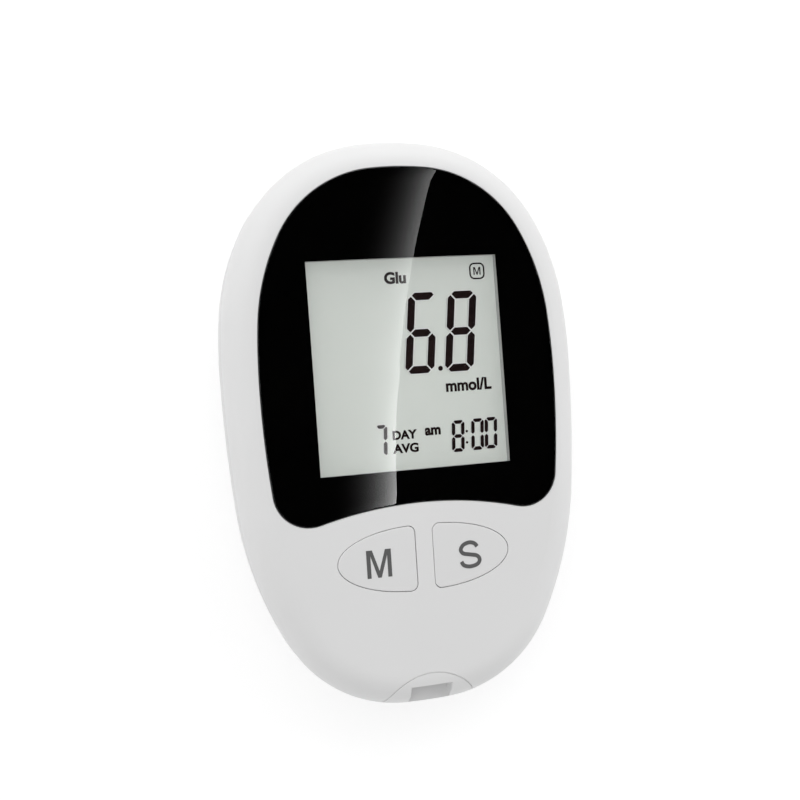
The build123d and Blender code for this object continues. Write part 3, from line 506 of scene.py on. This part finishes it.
def add_key(name, side):
    """A key and its leg, on the left where side is -1 and on the right where it is 1."""
    face_shares, back_shares, edge_steps = (0.05, 0.3, 0.55, 0.8, 0.93), (0.5, 0.05), 5
    middle_u = KEY_HALF_WIDTH / 2.5
    middle = (side * (KEY_INNER_X + middle_u), KEY_Y)
    face = key_outline(side, KEY_SKIN - KEY_EDGE_RADIUS)
    rings = [below_crown(shrunk(face, middle, share), 0) for share in face_shares]
    for step in range(edge_steps + 1):
        turn = math.pi / 2 * step / edge_steps
        growth = KEY_SKIN - KEY_EDGE_RADIUS * (1 - math.sin(turn))
        rings.append(below_crown(key_outline(side, growth), KEY_EDGE_RADIUS * (1 - math.cos(turn))))
    rings.append(below_crown(key_outline(side, KEY_SKIN), FLANGE_TOP))
    flange = key_outline(side, FLANGE_GROWTH)
    rings += [below_crown(flange, FLANGE_TOP), below_crown(flange, FLANGE_BACK)]
    rings += [below_crown(shrunk(flange, middle, share), FLANGE_BACK) for share in back_shares]
    key = ring_solid(name + "_cap", rings, False, key_white, name)
    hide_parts(name)
    leg_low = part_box(name)[0][2] / MM
    leg_high = crown_z(side * LEG_X, KEY_Y) - FLANGE_BACK + KEY_EDGE_RADIUS
    leg = disc((side * LEG_X, KEY_Y), LEG_RADIUS)
    prism_piece(name + "_leg", [leg], leg_low, leg_high, key_white, name)


def add_port_ledge():
    """A step at the port insert's edge, seen down the seam between the insert and the case.

    It follows the insert's surface, and is left out where that is steep.
    """
    centre = Vector((0, -51.3))
    first_turn, last_turn = 30, 150
    inner, outer, probe = 8.95, 9.15, 8.9
    depth, thickness, steepest = 0.1, 0.5, 0.35
    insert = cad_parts["strip_port_insert"]
    rings = []
    for turn in range(first_turn, last_turn + 1):
        place = point_at(centre, probe, turn)
        above = Vector((place.x, place.y, 2 * CASE_TOP)) * MM
        hit, spot, normal, _ = insert.ray_cast(above, Vector((0, 0, -1)))
        if hit and normal.z > steepest:
            top = spot.z / MM - depth
            near, far = point_at(centre, inner, turn), point_at(centre, outer, turn)
            rings.append([(*near, top), (*far, top), (*far, top - thickness), (*near, top - thickness)])
    ring_solid("port_ledge", rings, False, case_white, "root")


# ---------------------------------------------------------------- flat prints
def prism_piece(name, outlines, low_z, high_z, material, body, base=lambda x, y: 0.0):
    """A thin plate of one or more closed outlines, in millimetres, between two heights over a base."""
    mesh = bpy.data.meshes.new(name)
    form = bmesh.new()
    for outline in outlines:
        bottom = [form.verts.new(Vector((x, y, base(x, y) + low_z)) * MM) for x, y in outline]
        top = [form.verts.new(Vector((x, y, base(x, y) + high_z)) * MM) for x, y in outline]
        form.faces.new(bottom[::-1])
        form.faces.new(top)
        for index in range(len(outline)):
            following = (index + 1) % len(outline)
            form.faces.new((bottom[index], bottom[following], top[following], top[index]))
    bmesh.ops.recalc_face_normals(form, faces=form.faces)
    form.to_mesh(mesh)
    form.free()
    piece = bpy.data.objects.new(name, mesh)
    bpy.context.scene.collection.objects.link(piece)
    mesh.materials.append(material)
    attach(piece, body)


def leaning(points, origin, slant):
    """Points of an upright figure, leant to the right and put at origin."""
    return [(origin[0] + x + slant * y, origin[1] + y) for x, y in points]


def segment_shapes(width, height, stroke, gap):
    """The seven segments of a digit, by the usual letters: bars with chamfered corners and mitred ends."""
    half, middle, cut = stroke / 2, height / 2, 0.85 * stroke
    # A mitred end moved by this along both axes leaves half the gap
    slip = gap * 0.354

    def level(outer_y, inward):
        """A bar along the top or the bottom: inward is the way from its outer edge to its inner one."""
        outer = [(cut, outer_y), (width - cut, outer_y)]
        tip_y = outer_y + inward * (cut / 2 - slip)
        inner_y = outer_y + inward * stroke
        inner_x = stroke + 2 * slip
        return [
            outer[0], outer[1], (width - cut / 2 - slip, tip_y), (width - inner_x, inner_y),
            (inner_x, inner_y), (cut / 2 + slip, tip_y),
        ]

    def upright(outer_x, inward, end_y, toward_end):
        """A bar up the side, from the middle to the end at end_y."""
        far_tip = (outer_x + inward * (cut / 2 - slip), end_y - toward_end * (cut / 2 + slip))
        near_tip = (outer_x + inward * half, middle + toward_end * 2 * slip)
        near_shoulder = middle + toward_end * (half + 2 * slip)
        inner_x = outer_x + inward * stroke
        return [
            (outer_x, end_y - toward_end * cut), far_tip,
            (inner_x, end_y - toward_end * (stroke + 2 * slip)),
            (inner_x, near_shoulder), near_tip, (outer_x, near_shoulder),
        ]

    point = half + 2 * slip
    return {
        "a": level(height, -1), "d": level(0, 1),
        "g": [
            (point, middle), (point + half, middle + half), (width - point - half, middle + half),
            (width - point, middle), (width - point - half, middle - half), (point + half, middle - half),
        ],
        "b": upright(width, -1, height, 1), "c": upright(width, -1, 0, -1),
        "f": upright(0, 1, height, 1), "e": upright(0, 1, 0, -1),
    }


def grown(outline, distance):
    """A convex outline with each side moved outwards by distance."""
    corners = [Vector(corner) for corner in outline]
    doubled_area = sum(a.x * b.y - b.x * a.y for a, b in zip(corners, corners[1:] + corners[:1]))
    if doubled_area < 0:
        corners.reverse()
    moved = []
    for before, corner, after in zip(corners[-1:] + corners[:-1], corners, corners[1:] + corners[:1]):
        arrive = (corner - before).normalized()
        leave = (after - corner).normalized()
        bisector = Vector((arrive.y + leave.y, -arrive.x - leave.x)).normalized()
        moved.append(corner + bisector * distance / bisector.dot(Vector((arrive.y, -arrive.x))))
    return [tuple(corner) for corner in moved]


DIGITS = {"0": "abcdef", "6": "acdefg", "7": "abc", "8": "abcdefg"}

# Each figure is three thin layers on the glass: a painted shadow to its left, a painted highlight round it
# and the ink
SHADE_TOP, HIGHLIGHT_TOP, INK_TOP = (GLASS_TOP + rise for rise in (0.006, 0.012, 0.03))


def digit(name, value, origin, width, height, stroke, gap, slant):
    """A seven-segment figure, with its lower left corner at origin."""
    shade_left, shade_down = 0.9 * gap, 0.2 * gap
    shapes = segment_shapes(width, height, stroke, gap)
    inked = [leaning(shapes[letter], origin, slant) for letter in DIGITS[value]]
    # Painted highlight: a pale rim round the ink. Painted shadow: a grey copy of the ink, moved left and
    # down
    highlights = [grown(outline, gap / 2) for outline in inked]
    shades = [[(x - shade_left, y - shade_down) for x, y in outline] for outline in inked]
    layers = (
        ("_shade", shades, GLASS_TOP, SHADE_TOP, segment_shade),
        ("_painted_highlight", highlights, SHADE_TOP, HIGHLIGHT_TOP, segment_painted_highlight),
        ("", inked, HIGHLIGHT_TOP, INK_TOP, segment_ink),
    )
    for suffix, outlines, low, high, material in layers:
        prism_piece(name + suffix, outlines, low, high, material, "root")


def smooth(points, steps=8):
    """A Catmull-Rom curve through points."""
    padded = [points[0], *points, points[-1]]
    curve = []
    for before, start, end, after in zip(padded, padded[1:], padded[2:], padded[3:]):
        for step in range(steps):
            t = step / steps
            curve.append(tuple(
                0.5 * (
                    2 * b + (c - a) * t
                    + (2 * a - 5 * b + 4 * c - d) * t**2
                    + (3 * b - a - 3 * c + d) * t**3
                )
                for a, b, c, d in zip(before, start, end, after)
            ))
    return curve + [points[-1]]


def pen_stroke(points, width):
    """Outline of an open line drawn with a pen of the given width."""
    path = [Vector(point) for point in points]
    ways = [(b - a).normalized() for a, b in zip(path, path[1:])]
    arriving = ways[:1] + ways
    leaving = ways + ways[-1:]
    sides = []
    for arrive, leave in zip(arriving, leaving):
        across = Vector((-arrive.y - leave.y, arrive.x + leave.x)).normalized()
        sides.append(across * (width / 2 / across.dot(Vector((-arrive.y, arrive.x)))))
    left = [tuple(point + side) for point, side in zip(path, sides)]
    right = [tuple(point - side) for point, side in zip(path, sides)]
    return left + right[::-1]


def disc(centre, radius, sides=24):
    """Outline of a round dot."""
    turn = 2 * math.pi / sides
    return [
        (centre[0] + radius * math.cos(index * turn), centre[1] + radius * math.sin(index * turn))
        for index in range(sides)
    ]


def lettering(name, text, low_left, size, material, body, base_z, height, weight):
    """A word as a mesh, in millimetres. Its letters fill the box at low_left that is size wide and high."""
    any_depth, curve_steps, merge_distance = 0.05, 6, 1e-7
    curve = bpy.data.curves.new(name, "FONT")
    curve.body = text
    curve.offset = weight
    curve.extrude = any_depth
    curve.resolution_u = curve_steps
    source = bpy.data.objects.new(name + "_source", curve)
    bpy.context.scene.collection.objects.link(source)
    bpy.context.view_layer.update()
    mesh = bpy.data.meshes.new_from_object(source)
    bpy.data.objects.remove(source)
    low = Vector([min(v.co[i] for v in mesh.vertices) for i in range(3)])
    high = Vector([max(v.co[i] for v in mesh.vertices) for i in range(3)])
    span = high - low
    scale = Vector((size[0] / span.x, size[1] / span.y, height / span.z)) * MM
    shift = Vector((low_left[0], low_left[1], base_z)) * MM
    for vertex in mesh.vertices:
        vertex.co = shift + Vector([(vertex.co[i] - low[i]) * scale[i] for i in range(3)])
    form = bmesh.new()
    form.from_mesh(mesh)
    bmesh.ops.remove_doubles(form, verts=form.verts, dist=merge_distance)
    bmesh.ops.recalc_face_normals(form, faces=form.faces)
    form.to_mesh(mesh)
    form.free()
    mesh.name = name
    piece = bpy.data.objects.new(name, mesh)
    bpy.context.scene.collection.objects.link(piece)
    mesh.materials.clear()
    mesh.materials.append(material)
    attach(piece, body)


add_window()
for key_name, key_side in (("memory_button", -1), ("set_button", 1)):
    add_key(key_name, key_side)
add_port_ledge()

# Kinds of figure: width, height, stroke and gap, in millimetres, and slant
BIG_FIGURE = (5.15, 13.7, 1.28, 0.25, BIG_SLANT)
SMALL_FIGURE = (2.28, 5.4, 0.62, 0.13, SMALL_SLANT)
DAYS_FIGURE = (2.13, *SMALL_FIGURE[1:])
POINT_RADIUS, COLON_RADIUS = 0.42, 0.22

# Large reading with its decimal point
digit("reading_ones", "6", (-0.55, 8.1), *BIG_FIGURE)
digit("reading_tenths", "8", (6.5, 8.05), *BIG_FIGURE)
prism_piece(
    "reading_point", [disc((5.77, 8.75), POINT_RADIUS)],
    GLASS_TOP, INK_TOP, segment_ink, "root",
)

# Average's number of days, and the clock
digit("average_days", "7", (-6.75, -5.5), *DAYS_FIGURE)
digit("clock_hours", "8", (6.75, -5.7), *SMALL_FIGURE)
digit("clock_minutes_tens", "0", (10.25, -5.65), *SMALL_FIGURE)
digit("clock_minutes_ones", "0", (12.7, -5.6), *SMALL_FIGURE)
prism_piece(
    "clock_colon", [disc((9.55, -4.2), COLON_RADIUS), disc((9.65, -2.3), COLON_RADIUS)],
    GLASS_TOP, INK_TOP, segment_ink, "root",
)

# Words of the display: name, text, lower left corner and size in millimetres, and weight
WORDS = (
    ("quantity_word", "Glu", (-3.0, 23.45), (3.8, 2.05), 0.042),
    ("unit_word", "mmol/L", (6.5, 4.62), (8.2, 2.15), 0.036),
    ("day_word", "DAY", (-3.5, -2.8), (4.3, 1.55), 0.042),
    ("average_word", "AVG", (-3.6, -5.1), (4.5, 1.6), 0.042),
    ("half_day_word", "am", (2.2, -2.5), (2.8, 1.35), 0.045),
)
for name, text, low_left, size, weight in WORDS:
    lettering(
        name, text, low_left, size, segment_ink, "root",
        GLASS_TOP, INK_TOP - GLASS_TOP, weight,
    )

# Letters drawn in a unit square: M as an outline, and S as the middle line of a pen stroke
CAPITAL_M = (
    (0, 0), (0, 1), (0.235, 1), (0.5, 0.24), (0.765, 1), (1, 1), (1, 0),
    (0.84, 0), (0.84, 0.8), (0.57, 0), (0.43, 0), (0.16, 0.8), (0.16, 0),
)
CURVE_OF_S = (
    (0.83, 0.76), (0.71, 0.88), (0.48, 0.93), (0.21, 0.86), (0.085, 0.70), (0.19, 0.56), (0.48, 0.50),
    (0.80, 0.43), (0.915, 0.28), (0.80, 0.13), (0.48, 0.07), (0.20, 0.13), (0.085, 0.27),
)


def fitted(outline, low_left, size):
    """Points in a unit square, stretched over the box from low_left that is size wide and high."""
    return [(low_left[0] + x * size[0], low_left[1] + y * size[1]) for x, y in outline]


def rounded_frame(low_left, size, radius, width, corner_steps=5):
    """Outline of each half of a rounded rectangular frame."""
    halves = []
    for side in (-1, 1):
        centre_x = low_left[0] + size[0] / 2
        path = [(centre_x, low_left[1] + size[1])]
        for end in (1, -1):
            corner = Vector((
                centre_x + side * (size[0] / 2 - radius),
                low_left[1] + size[1] / 2 + end * (size[1] / 2 - radius),
            ))
            for step in range(corner_steps + 1):
                turn = math.pi / 2 * step / corner_steps
                if end < 0:
                    turn = math.pi / 2 - turn
                path.append((
                    corner.x + side * radius * math.sin(turn),
                    corner.y + end * radius * math.cos(turn),
                ))
        path.append((centre_x, low_left[1]))
        halves.append(pen_stroke(path, width))
    return halves


# Memory symbol: a letter in a rounded frame, which is drawn in two halves
SYMBOL_CORNER, SYMBOL_STROKE = 0.75, 0.26
symbol_frame = rounded_frame((12.3, 23.75), (2.5, 2.6), SYMBOL_CORNER, SYMBOL_STROKE)
symbol_letter = fitted(CAPITAL_M, (12.92, 24.4), (1.28, 1.32))
prism_piece(
    "memory_symbol", [*symbol_frame, symbol_letter],
    GLASS_TOP, INK_TOP, segment_ink, "root",
)

# Key letters follow each key's crown and stand a hair proud of it
KEY_LETTER_RISE, KEY_LETTER_DEPTH, S_STROKE = 0.035, 0.1, 0.66
s_line = smooth(fitted(CURVE_OF_S, (5.98, -25.4), (3.95, 4.75)))
for body, outline in (
    ("memory_button", fitted(CAPITAL_M, (-10.05, -25.2), (4.2, 4.65))),
    ("set_button", pen_stroke(s_line, S_STROKE)),
):
    prism_piece(
        body + "_letter", [outline], -KEY_LETTER_DEPTH, KEY_LETTER_RISE,
        key_print, body, crown_z,
    )


# ---------------------------------------------------------------- floor, light and camera
def light_path_mix(nodes, links, dark, bright, output):
    """Shows bright to the camera, in mirrors and through clear pieces, and dark to all other rays."""
    rays = nodes.new("ShaderNodeLightPath").outputs
    mirrored = arithmetic(nodes, links, "MAXIMUM", rays["Is Camera Ray"], rays["Is Glossy Ray"])
    seen = arithmetic(nodes, links, "MAXIMUM", mirrored, rays["Is Transmission Ray"])
    mix = nodes.new("ShaderNodeMixShader")
    links.new(seen, mix.inputs["Fac"])
    links.new(dark, mix.inputs[1])
    links.new(bright, mix.inputs[2])
    links.new(mix.outputs["Shader"], output)


# Floor, in metres: it lies a hair under the meter, and glows enough to show as white
FLOOR_SIZE, FLOOR_Z = 6.0, -0.0002
FLOOR_SHADE, FLOOR_DARKER, FLOOR_TONES = (0.62, 0.62, 0.62), (0.61, 0.61, 0.61), 3.0
FLOOR_GLOW = 0.52


def add_floor():
    """A white floor that keeps the meter's shadow."""
    bpy.ops.mesh.primitive_plane_add(size=FLOOR_SIZE, location=(0, 0, FLOOR_Z))
    floor = bpy.context.object
    floor.name = "floor"
    material, nodes, links, shader = new_material("floor_white")
    shader.inputs["Roughness"].default_value = 0.6
    shader.inputs["Specular IOR Level"].default_value = 0.2
    tone = noise(nodes, links, FLOOR_TONES)
    tint = varied_colour(nodes, links, tone.outputs["Fac"], FLOOR_SHADE, FLOOR_DARKER)
    links.new(tint, shader.inputs["Base Color"])
    glow = nodes.new("ShaderNodeEmission")
    glow.inputs["Strength"].default_value = FLOOR_GLOW
    both = nodes.new("ShaderNodeAddShader")
    links.new(shader.outputs["BSDF"], both.inputs[0])
    links.new(glow.outputs["Emission"], both.inputs[1])
    light_path_mix(
        nodes, links, shader.outputs["BSDF"], both.outputs["Shader"],
        nodes["Material Output"].inputs["Surface"],
    )
    floor.data.materials.append(material)


# The tent's light: its full level, the direction of its dark flag, and pairs of the cosine of the angle
# from the flag and the share of the full level there
TENT_LEVEL = 1.48
FLAG_WAY = Vector((0.25, 0.06, 0.966)).normalized()
TENT = ((0.0, 1.0), (0.5, 0.88), (0.8, 0.68), (0.88, 0.48), (0.93, 0.0))
# The tent is brighter towards the display's top end, and a little towards the right
TENT_LEAN = (0.2, 0.5, 0.0)


def along(nodes, links, source, way):
    """How far a direction reaches along a fixed way."""
    product = nodes.new("ShaderNodeVectorMath")
    product.operation = "DOT_PRODUCT"
    product.inputs[1].default_value = way
    links.new(source, product.inputs[0])
    return product.outputs["Value"]


def add_world():
    """A white tent, with a dark flag over the meter that keeps its window black."""
    world = bpy.data.worlds.new("tent")
    bpy.context.scene.world = world
    world.use_nodes = True
    nodes, links = world.node_tree.nodes, world.node_tree.links
    direction = nodes.new("ShaderNodeTexCoord").outputs["Generated"]
    fade = nodes.new("ShaderNodeValToRGB")
    links.new(along(nodes, links, direction, FLAG_WAY), fade.inputs["Fac"])
    ramp = fade.color_ramp
    for cosine, _ in TENT[1:-1]:
        ramp.elements.new(cosine)
    for element, (cosine, share) in zip(ramp.elements, TENT):
        element.position = cosine
        element.color = (share, share, share, 1)
    level = arithmetic(nodes, links, "MULTIPLY", fade.outputs["Color"], TENT_LEVEL)
    lean = along(nodes, links, direction, TENT_LEAN)
    white = (1, 1, 1, 1)
    lit = nodes["Background"]
    lit.inputs["Color"].default_value = white
    links.new(arithmetic(nodes, links, "MULTIPLY_ADD", lean, level, level), lit.inputs["Strength"])
    plain = nodes.new("ShaderNodeBackground")
    plain.inputs["Color"].default_value = white
    rays = nodes.new("ShaderNodeLightPath")
    mix = nodes.new("ShaderNodeMixShader")
    links.new(rays.outputs["Is Camera Ray"], mix.inputs["Fac"])
    links.new(lit.outputs["Background"], mix.inputs[1])
    links.new(plain.outputs["Background"], mix.inputs[2])
    links.new(mix.outputs["Shader"], nodes["World Output"].inputs["Surface"])


# Light card, in metres. Its right edge is the curve x = edge + lean * y + bend * y squared
CARD_Z, CARD_WIDTH, CARD_LOW_Y, CARD_HIGH_Y = 0.300, 0.062, -0.075, 0.145
CARD_EDGE_X, CARD_EDGE_LEAN, CARD_EDGE_BEND = 0.067, 0.155, 1.42
CARD_ROWS, CARD_COLUMNS = 24, 12
# Its light, with places from 0 to 1: across the card it grows as this power of the place. Along the card
# it is weakest + gain * (place - weakest place) squared
CARD_POWER = 6.5
CARD_WEAKEST_PLACE, CARD_WEAKEST, CARD_GAIN = 0.8, 3.3, 10.9


def card_mesh():
    """A flat curved strip, whose UVs run from 0 to 1 across and along it."""
    mesh = bpy.data.meshes.new("light_card")
    form = bmesh.new()
    places = form.loops.layers.uv.new("card")
    grid = []
    for row in range(CARD_ROWS + 1):
        y = CARD_LOW_Y + (CARD_HIGH_Y - CARD_LOW_Y) * row / CARD_ROWS
        edge = CARD_EDGE_X + CARD_EDGE_LEAN * y + CARD_EDGE_BEND * y * y
        across = [edge - CARD_WIDTH * column / CARD_COLUMNS for column in range(CARD_COLUMNS + 1)]
        grid.append([form.verts.new((x, y, CARD_Z)) for x in across])
    for row in range(CARD_ROWS):
        for column in range(CARD_COLUMNS):
            corners = ((row, column), (row, column + 1), (row + 1, column + 1), (row + 1, column))
            face = form.faces.new([grid[r][c] for r, c in corners])
            for loop, (r, c) in zip(face.loops, corners):
                loop[places].uv = (1 - c / CARD_COLUMNS, r / CARD_ROWS)
    form.to_mesh(mesh)
    form.free()
    return mesh


def card_material():
    """Light that grows towards the card's right edge."""
    material = bpy.data.materials.new("light_card")
    material.use_nodes = True
    nodes, links = material.node_tree.nodes, material.node_tree.links
    nodes.remove(nodes["Principled BSDF"])
    place = nodes.new("ShaderNodeUVMap")
    place.uv_map = "card"
    parts = nodes.new("ShaderNodeSeparateXYZ")
    links.new(place.outputs["UV"], parts.inputs["Vector"])
    light_across = arithmetic(nodes, links, "POWER", parts.outputs["X"], CARD_POWER)
    away = arithmetic(nodes, links, "SUBTRACT", parts.outputs["Y"], CARD_WEAKEST_PLACE)
    squared = arithmetic(nodes, links, "MULTIPLY", away, away)
    light_along = arithmetic(nodes, links, "MULTIPLY_ADD", squared, CARD_GAIN, CARD_WEAKEST)
    glow = nodes.new("ShaderNodeEmission")
    strength = arithmetic(nodes, links, "MULTIPLY", light_across, light_along)
    links.new(strength, glow.inputs["Strength"])
    links.new(glow.outputs["Emission"], nodes["Material Output"].inputs["Surface"])
    return material


def add_light_card():
    """A curved strip of light over the meter, brightest at its right edge, mirrored by the window."""
    mesh = card_mesh()
    mesh.materials.append(card_material())
    card = bpy.data.objects.new("light_card", mesh)
    bpy.context.scene.collection.objects.link(card)
    card.visible_camera = False
    card.visible_diffuse = False
    card.visible_shadow = False
    card.visible_transmission = False


def add_camera():
    """The camera that took the photograph, as far as it could be worked out."""
    turn_y = Matrix.Rotation(math.radians(YAW_DEG), 3, "Y")
    turn_x = Matrix.Rotation(math.radians(PITCH_DEG), 3, "X")
    turn_z = Matrix.Rotation(math.radians(ROLL_DEG), 3, "Z")
    facing = (turn_z @ turn_x @ turn_y).inverted()
    data = bpy.data.cameras.new("camera")
    data.lens = FOCAL_MM
    data.sensor_width = SENSOR_MM
    data.clip_start = 0.005
    camera = bpy.data.objects.new("camera", data)
    camera.matrix_world = Matrix.LocRotScale(CAMERA_PLACE, facing.to_quaternion(), None)
    bpy.context.scene.collection.objects.link(camera)
    bpy.context.scene.camera = camera


add_floor()
add_world()
add_light_card()
add_camera()
bpy.context.scene.view_settings.view_transform = "Standard"
